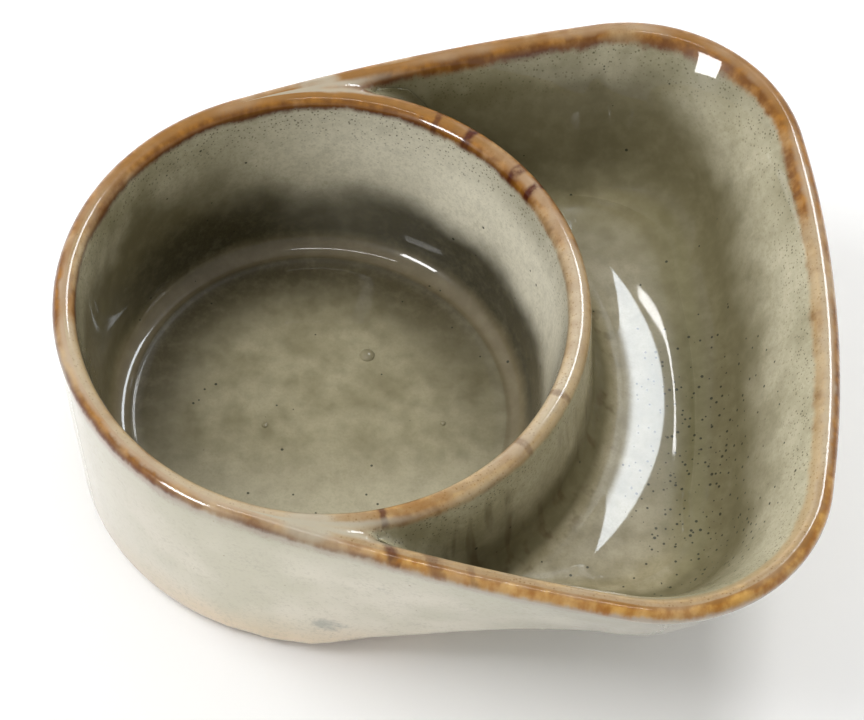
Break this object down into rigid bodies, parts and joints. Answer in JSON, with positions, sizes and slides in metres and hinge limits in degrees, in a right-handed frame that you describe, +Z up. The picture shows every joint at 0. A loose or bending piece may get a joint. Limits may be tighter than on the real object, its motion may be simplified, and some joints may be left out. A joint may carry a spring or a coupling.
{
  "type": "soup and cracker bowl",
  "caption": "Glazed stoneware soup bowl: a round, steep-walled soup well with a scoop-shaped cracker tray luted to its side, standing on a bare foot ring.",
  "frame": {"origin": "the middle of the overall box in plan, at the table it stands on", "axes": "+X from the soup well to the cracker tray, +Y to the rear in the picture, +Z up"},
  "size_m": [0.2043, 0.1886, 0.07],
  "materials": {
    "bone_glaze": "glossy bone-coloured reactive glaze that breaks to amber and rust at the rims",
    "olive_glaze": "glossy mottled olive-grey reactive glaze with dark specks",
    "bare_clay": "matt unglazed stoneware"
  },
  "bodies": {
    "root": {"soup_bowl_wall": "bone_glaze", "soup_bowl_floor": "olive_glaze", "soup_bowl_foot_ring": "bare_clay", "tray_wall": "bone_glaze", "tray_floor": "olive_glaze", "tray_seam_fillet": "olive_glaze", "under_tray_fillet": "bone_glaze", "front_joint_web": "olive_glaze", "rear_joint_web": "olive_glaze"}
  },
  "joints": []
}
